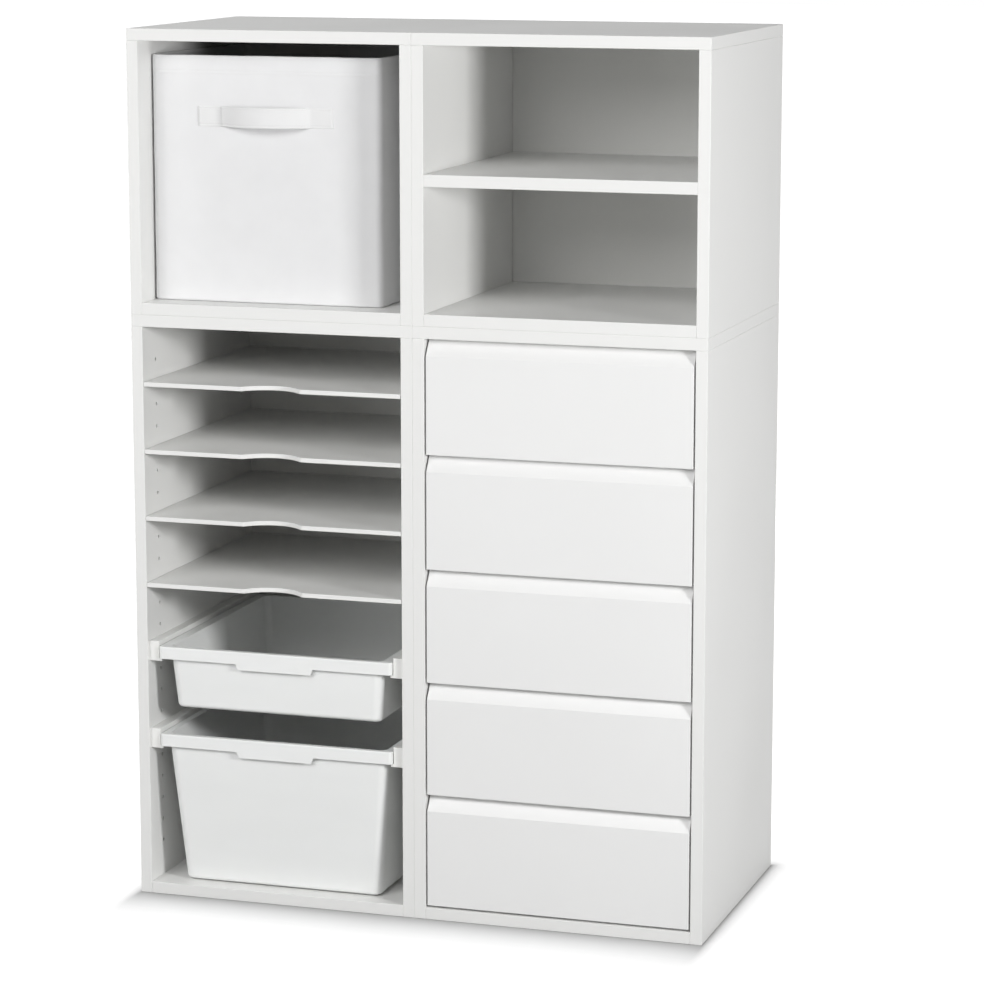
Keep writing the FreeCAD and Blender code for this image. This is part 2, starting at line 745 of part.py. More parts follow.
# ---------------------------------------------------------------- the whole stack
def all_nodes():
    nodes = {}
    for case in CASES:
        nodes.update(case_boards(case))
    nodes.update(cube_shelf())
    for number in range(1, PAPER_SHELF_COUNT + 1):
        nodes[f"paper_shelf_{number}"] = paper_shelf(number)
    deep_depth = rim_top(DEEP_BIN_ROW) - LOWER_LEFT.floor - BIN_FLOOR_CLEARANCE
    nodes["shallow_bin"] = plastic_bin(SHALLOW_BIN_ROW, SHALLOW_BIN_DEPTH, SHALLOW_SIDE_OVERHANG)
    nodes["deep_bin"] = plastic_bin(DEEP_BIN_ROW, deep_depth, DEEP_SIDE_OVERHANG)
    for number in drawer_numbers():
        nodes.update(drawer_boards(number))
    nodes["fabric_bin_body"] = fabric_bin_body()
    nodes["fabric_bin_base_board"] = fabric_bin_base_board()
    nodes["fabric_bin_handle"] = fabric_bin_handle()
    nodes["bin_rails"] = Part.makeCompound(bin_rails())
    nodes["drawer_runners"] = Part.makeCompound(drawer_runners())
    nodes["shelf_pins"] = Part.makeCompound(shelf_pins())
    nodes["strip_screws"] = Part.makeCompound(strip_screws())
    nodes["case_dowels"] = Part.makeCompound([dowel(at, along) for at, along in all_dowel_places()])
    return nodes


os.makedirs("parts", exist_ok=True)
for name, shape in all_nodes().items():
    shape.exportStep(f"parts/{name}.step")
    print(f"{name}: {len(shape.Solids)} solids, valid {shape.isValid()}, {shape.Volume / 1000:.1f} cm3")
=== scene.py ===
"""Looks of the modular craft storage stack: finishes, the sewn fabric bin, the stage, light and camera.

Metres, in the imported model's own frame: X to the right, Y from the front to the rear, Z up.
"""
import json
import math

import bmesh
import bpy
from mathutils import Euler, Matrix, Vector, noise


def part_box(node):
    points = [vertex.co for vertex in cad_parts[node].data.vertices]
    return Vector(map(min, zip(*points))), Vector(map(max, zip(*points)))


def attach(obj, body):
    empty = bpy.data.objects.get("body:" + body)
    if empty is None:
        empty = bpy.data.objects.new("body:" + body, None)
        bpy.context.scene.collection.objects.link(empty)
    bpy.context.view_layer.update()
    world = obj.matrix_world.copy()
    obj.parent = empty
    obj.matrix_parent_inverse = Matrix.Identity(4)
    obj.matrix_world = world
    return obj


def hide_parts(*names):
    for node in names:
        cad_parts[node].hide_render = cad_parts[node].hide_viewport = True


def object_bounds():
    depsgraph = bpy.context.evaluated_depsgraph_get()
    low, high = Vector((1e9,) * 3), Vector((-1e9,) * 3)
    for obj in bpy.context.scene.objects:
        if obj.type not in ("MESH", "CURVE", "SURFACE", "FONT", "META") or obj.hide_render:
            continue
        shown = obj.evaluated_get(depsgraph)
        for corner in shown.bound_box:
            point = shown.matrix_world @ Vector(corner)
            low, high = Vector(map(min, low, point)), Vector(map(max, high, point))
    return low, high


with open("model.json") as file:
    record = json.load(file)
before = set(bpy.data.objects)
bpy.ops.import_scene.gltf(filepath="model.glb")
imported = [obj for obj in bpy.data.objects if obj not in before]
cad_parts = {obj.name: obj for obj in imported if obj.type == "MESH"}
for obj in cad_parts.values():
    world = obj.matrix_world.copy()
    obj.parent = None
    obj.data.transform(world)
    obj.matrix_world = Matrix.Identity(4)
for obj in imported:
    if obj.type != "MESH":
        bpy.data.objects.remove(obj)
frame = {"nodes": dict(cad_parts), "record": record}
cad_low, cad_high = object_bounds()
nodes = frame["nodes"]

MM = 0.001
IMAGE_SIDE = 984                              # pixels of the square frame

# ---------------------------------------------------------------- camera
CAMERA_PLACE = (1.46492, -4.40113, 1.37783)   # to the right of the object and a little above it
CAMERA_TURN_DEG = 17.868                      # looks to the left of straight ahead
CAMERA_PITCH_DEG = 10.208                     # looks down
FOCAL_PIXELS = 3478.8
SENSOR_WIDTH = 36.0
CLIP_END = 100.0

# ---------------------------------------------------------------- light
OBJECT_MIDDLE = Vector((0.0, 0.0, 0.60))
# each lamp's turn from the front (to the right is positive), how far out and how high it stands,
# its size and its level
KEY = {"turn": 60.0, "out": 3.0, "height": 1.1, "size": (0.5, 0.4), "level": 0.57}
SOFT = {"turn": -14.0, "out": 3.6, "height": 2.6, "size": (2.6, 1.8), "level": 0.465}
FILL = {"turn": -38.0, "out": 3.4, "height": 0.8, "size": (1.4, 1.4), "level": 0.17}
SIDE = {"turn": -108.0, "out": 3.0, "height": 2.4, "size": (2.0, 1.6), "level": 0.26}
BACK = {"turn": -172.0, "out": 3.2, "height": 0.5, "size": (1.2, 1.0), "level": 0.36}
WORLD_LEVEL = 0.12
FLOOR_REACH = 30.0                            # from the middle to each edge
FLOOR_DROP = 0.2 * MM                         # keeps the floor off the cases' undersides
FLOOR_BOUNCE = 0.36                           # its colour where it throws light back at the object
FLOOR_SEEN = 0.47                             # and where it is looked at
# the floor's glow falls away towards the object, a painted shadow round its foot, longest in front
GLOW_BESIDE = 0.79                            # white added where it is looked at, a few fades away; it is held back close to the object, which paints a shadow round its foot
GLOW_FAR = 0.30                               # and added to that far off
PAINTED_SHADOW_FADE = 9.5 * MM                          # length of a fade of the painted shadow from the object's sides and back
FRONT_PAINTED_SHADOW_FADE = 60.0 * MM                   # and from its front
GLOW_SPREAD = (2.0, 20.0)                     # fades away at which the far share starts and is full

# ---------------------------------------------------------------- sewn fabric bin
SHELL_STEP = 5.0 * MM
WALL = 4.0 * MM
CORNER_RADIUS = 9.0 * MM
CORNER_STEPS = 8
FOOT_ROUND = 3.0 * MM
FOOT_STEPS = 4
FOOT_ROWS = 3                                 # close rows just above the foot
FOOT_ROW_STEP = 1.0 * MM
RIM_STEPS = 8
HEM_HEIGHT = 24.0 * MM
HEM_RAISE = 0.2 * MM
HEM_FURROW = 0.2 * MM
HEM_EDGE = 1.2 * MM                           # height over which the hem gains its thickness
HEM_STITCH_RISE = 3.4 * MM                    # seam above the hem's lower edge
HEM_FURROW_REACH = 0.9 * MM                   # of the furrow above and below the seam
# rows of the wall round the hem's lower edge and seam, in mm above that edge
HEM_ROWS = (-1.2, -0.6, 0.0, 0.6, 1.6, 2.4, 3.0, 3.4, 3.8, 4.4, 5.4, 7.0)
WALL_SAG = 1.6 * MM
RIM_SAG = 0.9 * MM
RIPPLE_START = 1.0 / 8.0                      # share of the height over which the ripples fade in
# height of the ripples and how many there are to a metre
WIDE_RIPPLE, WIDE_RIPPLE_RATE = 0.35 * MM, 16.0
FINE_RIPPLE, FINE_RIPPLE_RATE = 0.14 * MM, 55.0
RIM_RIPPLE, RIM_RIPPLE_RATE = 0.35 * MM, 30.0
STITCH_LENGTH = 3.0 * MM
STITCH_PITCH = 4.3 * MM
STITCH_RADIUS = 0.2 * MM
STITCH_SIDES = 6
# a stitch from end to end: share of its length, lift off the cloth and thickness, both in thread radii
STITCH_SHAPE = (
    (0.0, -0.3, 0.3),
    (0.12, 0.25, 0.85),
    (0.5, 0.5, 1.0),
    (0.88, 0.25, 0.85),
    (1.0, -0.3, 0.3),
)
# soft dents and swellings of the front: x, z, half width, half height, turn in degrees, and how far
# it stands out in mm
FRONT_DENTS = (
    (-0.120, 1.020, 0.050, 0.018, -35.0, -0.9),
    (-0.085, 0.985, 0.030, 0.016, -40.0, 0.8),
    (-0.140, 0.930, 0.022, 0.030, 10.0, 0.7),
    (-0.090, 0.880, 0.034, 0.022, -30.0, 0.8),
    (-0.300, 0.950, 0.070, 0.050, 20.0, -0.7),
    (-0.330, 0.870, 0.040, 0.060, 0.0, 0.6),
    (-0.215, 0.860, 0.060, 0.030, 12.0, -0.6),
    (-0.090, 1.090, 0.030, 0.020, 30.0, -0.5),
)

# ---------------------------------------------------------------- node trees
# the colour sockets of a mix node, by number because its kinds share their names
MIX_SHARE, MIX_FIRST, MIX_SECOND, MIX_RESULT = 0, 6, 7, 2


def add_node(tree, kind, inputs=None, **settings):
    """A node with its settings; inputs holds a value or another node's output for each socket name."""
    node = tree.nodes.new(kind)
    for key, value in settings.items():
        setattr(node, key, value)
    for key, value in (inputs or {}).items():
        if isinstance(value, bpy.types.NodeSocket):
            tree.links.new(value, node.inputs[key])
        else:
            node.inputs[key].default_value = value
    return node


def combine(tree, operation, first, second):
    """The result of a two-input math node."""
    return add_node(tree, "ShaderNodeMath", {0: first, 1: second}, operation=operation).outputs[0]


def between(tree, value, low, high, start=0.0, end=1.0):
    """value read from low to high as start to end, held outside."""
    inputs = {"Value": value, "From Min": low, "From Max": high, "To Min": start, "To Max": end}
    return add_node(tree, "ShaderNodeMapRange", inputs).outputs[0]


def mixed(tree, share, first, second):
    """Colour first where share is 0, second where it is 1."""
    inputs = {MIX_SHARE: share, MIX_FIRST: first, MIX_SECOND: second}
    return add_node(tree, "ShaderNodeMix", inputs, data_type="RGBA").outputs[MIX_RESULT]


def noise_field(tree, place, scale, detail=2.0, roughness=0.5):
    """A noise texture's grey value; scale is how many swells it has to a metre."""
    inputs = {"Vector": place, "Scale": scale, "Detail": detail, "Roughness": roughness}
    return add_node(tree, "ShaderNodeTexNoise", inputs).outputs["Fac"]


def stretched(tree, place, scale):
    """Coordinates scaled by a different factor along each axis."""
    return add_node(tree, "ShaderNodeMapping", {"Vector": place, "Scale": scale}).outputs[0]


def bump(tree, height, distance, below=None):
    """A normal for a height field that rises distance, over another normal where one is given."""
    inputs = {"Height": height, "Distance": distance, "Strength": 1.0}
    if below is not None:
        inputs["Normal"] = below
    return add_node(tree, "ShaderNodeBump", inputs).outputs[0]


def rgba(colour, factor=1.0):
    """A linear colour, brighter or darker by a factor, with full alpha."""
    return tuple(channel * factor for channel in colour) + (1.0,)


def new_material(name, **sockets):
    """A material with its tree, shader and object coordinates; sockets are set on the shader itself."""
    material = bpy.data.materials.new(name)
    material.use_nodes = True
    tree = material.node_tree
    shader = tree.nodes["Principled BSDF"]
    for key, value in sockets.items():
        shader.inputs[key.replace("_", " ")].default_value = value
    place = add_node(tree, "ShaderNodeTexCoord").outputs["Object"]
    return material, tree, shader, place


def finish_surface(tree, shader, colour, roughness, normal):
    """Joins the three fields that vary over a surface to its shader."""
    tree.links.new(colour, shader.inputs["Base Color"])
    tree.links.new(roughness, shader.inputs["Roughness"])
    tree.links.new(normal, shader.inputs["Normal"])


# ---------------------------------------------------------------- materials
NOISE_SPREAD = (0.3, 0.7)                     # where most of a noise field's values lie
NOISE_CORE = (0.35, 0.65)                     # a narrower part of it, for stronger contrast
BAND_EDGE = (0.2 * MM, 0.7 * MM)              # depth behind the front at which the edge band ends
GLUE_LINE = 1.4 * MM                          # depth of the thin line behind the band
GLUE_EDGE = (0.1 * MM, 0.3 * MM)              # half its width, and where it has faded out
THREADS = 5200.0                              # of the strap's weave, in radians to a metre


def faced_board(name, colour, front=None, roughness=0.46):
    """White melamine facing with a fine pearl texture; front is the Y of a banded front edge."""
    material, tree, shader, place = new_material(name, Specular_IOR_Level=0.42)
    cloud = noise_field(tree, place, scale=5.0, detail=3.0)
    face = mixed(tree, between(tree, cloud, *NOISE_SPREAD), rgba(colour, 0.985), rgba(colour))
    pearl = noise_field(tree, place, scale=900.0, roughness=0.6)
    swell = noise_field(tree, place, scale=60.0, detail=1.0)
    normal = bump(tree, swell, distance=0.06 * MM)
    normal = bump(tree, pearl, distance=0.035 * MM, below=normal)
    rough = between(tree, cloud, *NOISE_SPREAD, roughness - 0.04, roughness + 0.04)
    if front is not None:
        axes = add_node(tree, "ShaderNodeSeparateXYZ", {"Vector": place}).outputs
        depth = combine(tree, "SUBTRACT", axes["Y"], front)
        band = between(tree, depth, *BAND_EDGE, 1.0, 0.0)
        off_line = combine(tree, "ABSOLUTE", combine(tree, "SUBTRACT", depth, GLUE_LINE), 0.0)
        glue = between(tree, off_line, *GLUE_EDGE, 0.22, 0.0)
        face = mixed(tree, band, face, rgba(colour, 0.97))
        face = mixed(tree, glue, face, rgba(colour, 0.55))
        rough = combine(tree, "SUBTRACT", rough, combine(tree, "MULTIPLY", band, 0.06))
    finish_surface(tree, shader, face, rough, normal)
    return material


def painted_board(name, colour):
    """Thin fibreboard under white paint, with a light roller texture and faint clouds."""
    material, tree, shader, place = new_material(name, Specular_IOR_Level=0.4)
    roller = noise_field(tree, place, scale=420.0, detail=3.0, roughness=0.65)
    cloud = noise_field(tree, place, scale=9.0)
    paint = mixed(tree, between(tree, cloud, *NOISE_CORE), rgba(colour, 0.975), rgba(colour))
    normal = bump(tree, roller, distance=0.06 * MM)
    finish_surface(tree, shader, paint, between(tree, roller, *NOISE_SPREAD, 0.42, 0.56), normal)
    return material


def moulded_plastic(name, colour):
    """White polypropylene with a fine moulded grain, a little light passing through it."""
    material, tree, shader, place = new_material(
        name,
        Subsurface_Weight=0.12,
        Subsurface_Radius=(0.004, 0.004, 0.0036),
        Subsurface_Scale=1.0,
        IOR=1.49,
    )
    spark = noise_field(tree, place, scale=1300.0, roughness=0.6)
    flow = noise_field(tree, stretched(tree, place, (6.0, 6.0, 22.0)), scale=1.0)
    resin = mixed(tree, between(tree, flow, *NOISE_CORE), rgba(colour, 0.985), rgba(colour))
    normal = bump(tree, flow, distance=0.2 * MM)
    normal = bump(tree, spark, distance=0.03 * MM, below=normal)
    finish_surface(tree, shader, resin, between(tree, flow, *NOISE_SPREAD, 0.34, 0.42), normal)
    return material


def planed_wood(name, colour, along):
    """Plain beech: long fibres and short dark flecks along one axis."""
    material, tree, shader, place = new_material(name, Specular_IOR_Level=0.35)
    grain = stretched(tree, place, tuple(4.0 if axis == along else 150.0 for axis in range(3)))
    fleck = stretched(tree, place, tuple(90.0 if axis == along else 900.0 for axis in range(3)))
    fibres = noise_field(tree, grain, scale=1.0, detail=4.0, roughness=0.6)
    flecks = between(tree, noise_field(tree, fleck, scale=1.0, detail=1.0), 0.62, 0.72, 0.0, 0.55)
    wood = mixed(tree, between(tree, fibres, *NOISE_SPREAD), rgba(colour, 0.8), rgba(colour, 1.08))
    wood = mixed(tree, flecks, wood, rgba(colour, 0.5))
    rough = between(tree, fibres, *NOISE_SPREAD, 0.62, 0.5)
    finish_surface(tree, shader, wood, rough, bump(tree, fibres, distance=0.1 * MM))
    return material


def plated_steel(name, colour):
    """Small plated fittings with drawn scratches."""
    material, tree, shader, place = new_material(name, Metallic=1.0)
    drawn = stretched(tree, place, (300.0, 2600.0, 2600.0))
    scratches = noise_field(tree, drawn, scale=1.0, detail=3.0, roughness=0.7)
    metal = mixed(tree, between(tree, scratches, *NOISE_SPREAD), rgba(colour, 0.86), rgba(colour))
    rough = between(tree, scratches, *NOISE_SPREAD, 0.24, 0.4)
    finish_surface(tree, shader, metal, rough, bump(tree, scratches, distance=0.01 * MM))
    return material


def non_woven_fabric(name, colour):
    """Spun non-woven cloth: tangled fibres under a grid of small heat-pressed points."""
    material, tree, shader, place = new_material(
        name, Specular_IOR_Level=0.2, Sheen_Weight=0.25, Sheen_Roughness=0.5
    )
    fibres = noise_field(tree, place, scale=1500.0, detail=5.0, roughness=0.75)
    grid = {"Vector": place, "Scale": 720.0, "Randomness": 0.25}
    points = add_node(tree, "ShaderNodeTexVoronoi", grid, distance="CHEBYCHEV").outputs["Distance"]
    pressed = between(tree, points, 0.12, 0.3)
    cloud = noise_field(tree, place, scale=26.0, detail=3.0)
    cloth = mixed(tree, between(tree, cloud, *NOISE_SPREAD), rgba(colour, 0.975), rgba(colour))
    cloth = mixed(tree, between(tree, pressed, 0.0, 1.0, 0.05, 0.0), cloth, rgba(colour, 0.6))
    normal = bump(tree, pressed, distance=0.05 * MM)
    normal = bump(tree, fibres, distance=0.05 * MM, below=normal)
    finish_surface(tree, shader, cloth, between(tree, fibres, *NOISE_SPREAD, 0.78, 0.9), normal)
    return material


def woven_strap(name, colour):
    """Tightly woven strap: threads across and along it, with painted shade where the weave sinks
    between threads.
    """
    material, tree, shader, place = new_material(
        name, Specular_IOR_Level=0.22, Sheen_Weight=0.2, Sheen_Roughness=0.5
    )
    axes = add_node(tree, "ShaderNodeSeparateXYZ", {"Vector": place}).outputs
    across = combine(tree, "SINE", combine(tree, "MULTIPLY", axes["X"], THREADS), 0.0)
    along = combine(tree, "SINE", combine(tree, "MULTIPLY", axes["Z"], THREADS), 0.0)
    weave = combine(tree, "MULTIPLY", across, along)
    fibres = noise_field(tree, place, scale=1800.0, detail=3.0, roughness=0.7)
    # painted shade: a little darker where the weave sinks between threads
    cloth = mixed(tree, between(tree, weave, -1.0, 1.0, 0.06, 0.0), rgba(colour), rgba(colour, 0.7))
    normal = bump(tree, weave, distance=0.08 * MM)
    normal = bump(tree, fibres, distance=0.04 * MM, below=normal)
    finish_surface(tree, shader, cloth, between(tree, fibres, *NOISE_SPREAD, 0.7, 0.85), normal)
    return material


def grey_board(name, colour):
    """Recycled cardboard: flecks and soft fibres."""
    material, tree, shader, place = new_material(name, Specular_IOR_Level=0.15)
    pulp = noise_field(tree, place, scale=240.0, detail=5.0, roughness=0.7)
    flecks = between(tree, noise_field(tree, place, scale=700.0, detail=1.0), 0.66, 0.72, 0.0, 0.5)
    card = mixed(tree, between(tree, pulp, *NOISE_CORE), rgba(colour, 0.88), rgba(colour, 1.05))
    card = mixed(tree, flecks, card, rgba(colour, 0.45))
    rough = between(tree, pulp, *NOISE_SPREAD, 0.8, 0.95)
    finish_surface(tree, shader, card, rough, bump(tree, pulp, distance=0.1 * MM))
    return material


WHITE = (0.83, 0.83, 0.817)
ALONG_Y, ALONG_Z = 1, 2                       # the axis along which wood fibres run
case_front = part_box("upper_left_left_side")[0].y
MATERIALS = {
    "case_board": faced_board("case_board", WHITE, case_front),
    "back_board": faced_board("back_board", (0.80, 0.80, 0.78), roughness=0.52),
    "drawer_front_board": faced_board("drawer_front_board", (0.825, 0.825, 0.82), roughness=0.42),
    "drawer_box_board": faced_board("drawer_box_board", (0.80, 0.80, 0.79), roughness=0.5),
    "drawer_bottom_board": painted_board("drawer_bottom_board", (0.78, 0.78, 0.76)),
    "paper_shelf_board": painted_board("paper_shelf_board", (0.83, 0.83, 0.815)),
    "runner_wood": planed_wood("runner_wood", (0.62, 0.43, 0.24), ALONG_Y),
    "dowel_beech": planed_wood("dowel_beech", (0.64, 0.46, 0.27), ALONG_Z),
    "rail_plastic": moulded_plastic("rail_plastic", (0.85, 0.85, 0.83)),
    "bin_plastic": moulded_plastic("bin_plastic", (0.87, 0.88, 0.87)),
    "pin_steel": plated_steel("pin_steel", (0.60, 0.60, 0.59)),
    "screw_steel": plated_steel("screw_steel", (0.62, 0.62, 0.63)),
    "bin_fabric": non_woven_fabric("bin_fabric", (0.80, 0.80, 0.805)),
    "strap_fabric": woven_strap("strap_fabric", (0.83, 0.83, 0.83)),
    "base_cardboard": grey_board("base_cardboard", (0.40, 0.33, 0.25)),
}


def dress_frame():
    """Gives every CAD node the material of its slot."""
    for part in frame["record"]["subparts"]:
        mesh = nodes[part["node"]].data
        mesh.materials.clear()
        mesh.materials.append(MATERIALS[part["material_slot"]])


# ---------------------------------------------------------------- meshes
def mesh_piece(name, vertices, faces, slot_name, body, flat_faces=()):
    """A piece of the object from vertices and faces, with its slot's material, riding on a body."""
    mesh = bpy.data.meshes.new(name)
    mesh.from_pydata([tuple(v) for v in vertices], [], faces)
    mesh.polygons.foreach_set("use_smooth", [i not in flat_faces for i in range(len(faces))])
    piece = bpy.data.objects.new(name, mesh)
    bpy.context.scene.collection.objects.link(piece)
    shape = bmesh.new()
    shape.from_mesh(mesh)
    bmesh.ops.recalc_face_normals(shape, faces=shape.faces)
    shape.to_mesh(mesh)
    shape.free()
    mesh.materials.append(MATERIALS[slot_name])
    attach(piece, body)
    return piece


def skinned(rings):
    """Vertices and quads of a closed surface through rings of equal length, capped at both ends."""
    count = len(rings[0])
    vertices = [point for ring in rings for point in ring]
    faces = []
    for row in range(len(rings) - 1):
        for column in range(count):
            following = (column + 1) % count
            start = row * count
            above = start + count
            faces.append((start + column, start + following, above + following, above + column))
    faces.append(tuple(range(count)))
    faces.append(tuple(range((len(rings) - 1) * count, len(rings) * count)))
    return vertices, faces


def rounded_loop(low, high, radius, step):
    """Points and outward directions round an upright box with rounded corners."""
    loop = []
    corners = (
        (high.x - radius, low.y + radius, -90.0),
        (high.x - radius, high.y - radius, 0.0),
        (low.x + radius, high.y - radius, 90.0),
        (low.x + radius, low.y + radius, 180.0),
    )
    for index, (x, y, start) in enumerate(corners):
        for part in range(CORNER_STEPS + 1):
            angle = math.radians(start + 90.0 * part / CORNER_STEPS)
            out = Vector((math.cos(angle), math.sin(angle), 0.0))
            loop.append((Vector((x, y, 0.0)) + out * radius, out))
        next_x, next_y, next_start = corners[(index + 1) % 4]
        angle = math.radians(next_start)
        out = Vector((math.cos(angle), math.sin(angle), 0.0))
        begin = loop[-1][0]
        end = Vector((next_x, next_y, 0.0)) + out * radius
        parts = round((end - begin).length / step)
        for part in range(1, parts):
            loop.append((begin.lerp(end, part / parts), out))
    return loop


# ---------------------------------------------------------------- fabric bin
bin_low, bin_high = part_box("fabric_bin_body")
HEM_FOOT = bin_high.z - HEM_HEIGHT


def hump(share):
    """0 at both ends of a span, 1 in its middle."""
    return math.sin(math.pi * min(max(share, 0.0), 1.0))


def wall_shift(point, out):
    """How far a point of the bin's wall stands out from the plain box."""
    rise = (point.z - bin_low.z) / (bin_high.z - bin_low.z)
    wide = hump((point.x - bin_low.x) / (bin_high.x - bin_low.x))
    deep = hump((point.y - bin_low.y) / (bin_high.y - bin_low.y))
    across = wide * abs(out.y) + deep * abs(out.x)
    shift = -WALL_SAG * across * hump(rise) - RIM_SAG * across * rise**3
    fade = min(1.0, rise / RIPPLE_START)
    shift += fade * WIDE_RIPPLE * noise.noise(point * WIDE_RIPPLE_RATE)
    shift += fade * FINE_RIPPLE * noise.noise(point * FINE_RIPPLE_RATE)
    if out.y < -0.5:
        for x, z, half_width, half_height, turn, swell in FRONT_DENTS:
            cosine, sine = math.cos(math.radians(turn)), math.sin(math.radians(turn))
            right, up = point.x - x, point.z - z
            u = (right * cosine + up * sine) / half_width
            v = (up * cosine - right * sine) / half_height
            shift += swell * MM * math.exp(-u * u - v * v)
    return shift


def hem_shift(z):
    """Extra thickness of the turned-over hem, with the furrow its seam pulls in."""
    step = min(max((z - HEM_FOOT) / HEM_EDGE + 0.5, 0.0), 1.0)
    furrow = math.exp(-(((z - HEM_FOOT - HEM_STITCH_RISE) / HEM_FURROW_REACH) ** 2))
    return HEM_RAISE * step - HEM_FURROW * furrow


def wall_heights():
    """Rows of the wall from foot to rim, close together round the hem's edge and seam."""
    rows = [bin_low.z + FOOT_ROUND + FOOT_ROW_STEP * row for row in range(FOOT_ROWS)]
    while rows[-1] + 1.5 * SHELL_STEP < HEM_FOOT:
        rows.append(rows[-1] + SHELL_STEP)
    rows += [HEM_FOOT + offset * MM for offset in HEM_ROWS]
    while rows[-1] + 1.5 * SHELL_STEP < bin_high.z - WALL / 2:
        rows.append(rows[-1] + SHELL_STEP)
    rows.append(bin_high.z - WALL / 2)
    return rows


def shell_point(base, out, inward, z):
    """A point on the bin's skin, inward from its outer face."""
    place = Vector((base.x, base.y, z))
    sides = hem_shift(z) * (1.0 - 2.0 * inward / WALL)
    return place + out * (wall_shift(place, out) + sides - inward)


def build_bin_shell():
    """The bin's fabric walls and floor as one closed skin, outside and inside, over a soft rounded rim.

    Returns the loop round its outer face, for the seam.
    """
    low = bin_low + Vector((HEM_RAISE, HEM_RAISE, 0.0))
    high = bin_high - Vector((HEM_RAISE, HEM_RAISE, 0.0))
    loop = rounded_loop(low, high, CORNER_RADIUS, SHELL_STEP)
    heights = wall_heights()
    rings = []
    for part in range(FOOT_STEPS):
        angle = math.radians(90.0 * part / FOOT_STEPS)
        inward = FOOT_ROUND * (1.0 - math.sin(angle))
        z = bin_low.z + FOOT_ROUND * (1.0 - math.cos(angle))
        rings.append([Vector((base.x, base.y, z)) - out * inward for base, out in loop])
    rings += [[shell_point(base, out, 0.0, z) for base, out in loop] for z in heights]
    for part in range(1, RIM_STEPS):
        angle = math.radians(180.0 * part / RIM_STEPS)
        inward = WALL / 2 * (1.0 - math.cos(angle))
        rise = WALL / 2 * math.sin(angle)
        ring = []
        for base, out in loop:
            point = shell_point(base, out, inward, heights[-1])
            wave = RIM_RIPPLE * noise.noise(point * RIM_RIPPLE_RATE)
            ring.append(point + Vector((0.0, 0.0, rise + wave * math.sin(angle))))
        rings.append(ring)
    rings += [[shell_point(base, out, WALL, z) for base, out in loop] for z in reversed(heights)]
    rings.append([Vector((base.x, base.y, bin_low.z + WALL)) - out * WALL for base, out in loop])
    vertices, faces = skinned(rings)
    caps = {len(faces) - 1, len(faces) - 2}
    shell = mesh_piece("fabric_bin_shell", vertices, faces, "bin_fabric", "fabric_bin", caps)
    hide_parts("fabric_bin_body")
    return loop


def thread(start, end, out):
    """Vertices and quads of one stitch, a short thread that dips into the cloth at both ends."""
    along = (end - start).normalized()
    side = along.cross(out).normalized()
    rings = []
    for share, lift, size in STITCH_SHAPE:
        centre = start.lerp(end, share) + out * STITCH_RADIUS * lift
        ring = []
        for corner in range(STITCH_SIDES):
            angle = math.radians(360.0 * corner / STITCH_SIDES)
            offset = side * math.cos(angle) + out * math.sin(angle)
            ring.append(centre + offset * STITCH_RADIUS * size)
        rings.append(ring)
    return skinned(rings)


def stitched_piece(name, seams, slot_name):
    """One mesh of stitches; each seam is a list of points with the outward direction at each."""
    vertices, faces = [], []
    for seam in seams:
        travelled, due = 0.0, 0.0
        for (here, out), (there, _) in zip(seam, seam[1:]):
            run = (there - here).length
            while due < travelled + run:
                start = here.lerp(there, (due - travelled) / run)
                way = (there - here).normalized()
                more_vertices, more_faces = thread(start, start + way * STITCH_LENGTH, out)
                first = len(vertices)
                vertices += more_vertices
                faces += [tuple(first + i for i in face) for face in more_faces]
                due += STITCH_PITCH
            travelled += run
    return mesh_piece(name, vertices, faces, slot_name, "fabric_bin")


def build_hem_seam(loop):
    """The seam along the hem, round the whole bin."""
    z = HEM_FOOT + HEM_STITCH_RISE
    seam = [(shell_point(base, out, 0.0, z), out) for base, out in loop]
    stitched_piece("fabric_bin_hem_stitches", [seam + seam[:1]], "bin_fabric")


# ---------------------------------------------------------------- strap handle
strap_low, strap_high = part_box("fabric_bin_handle")
FRONT = Vector((0.0, -1.0, 0.0))
STRAP_THICKNESS = 2.2 * MM
STRAP_TAB = 35.0 * MM
STRAP_SUNK = 1.9 * MM                         # the sewn ends sit this deep in the wall's cloth
STRAP_INSET = 2.6 * MM                        # keeps the crest's outer face inside the CAD strap's box
STRAP_BULGE = strap_high.y - strap_low.y - STRAP_INSET
STRAP_LEAN = 0.08                             # the bow swells more on its left
STRAP_FLANKS = (1.15, 0.75)                   # and leaves the wall softly there, sharply on its right
STRAP_CROWN = 0.25 * MM                       # its middle stands above its edges
STRAP_FURROW = 0.15 * MM                      # pulled in by the seams along it
STRAP_SEAM = 0.77                             # place of those seams, as a share of half the width
STRAP_FURROW_REACH = 0.015                    # of a furrow, as the same share
STRAP_ROWS = (0.9, 0.8, 0.78, 0.76, 0.74, 0.6, 0.3)   # rows of its outer face, as the same share
TAB_PARTS = 8
BOW_PARTS = 48
FOLD_PARTS = 6
TAB_SEAM_FROM = 4.0 * MM                      # the seam round a sewn end, from the end's left edge
TAB_SEAM_TO = 2.0 * MM                        # and from its right edge
TAB_SEAM_HEIGHT = 0.6                         # as a share of half the width
TAB_SEAM_LIFT = 0.15 * MM                     # off the strap's flat face, to lie on its crown


def bow(share):
    """How far the strap stands off the wall along its free length, 0 to 1."""
    leaned = share ** (1.0 - STRAP_LEAN * 2.0 * (1.0 - share))
    left, right = STRAP_FLANKS
    return math.sin(math.pi * leaned) ** (left + (right - left) * share)


def strap_point(x, z, stand_off):
    """A point of the strap's inner side: sunk in the wall's cloth at stand_off 0, at the crest at 1."""
    seated = bin_low.y + STRAP_SUNK - wall_shift(Vector((x, bin_low.y, z)), FRONT)
    return Vector((x, seated + (strap_high.y - STRAP_BULGE - seated) * stand_off, z))


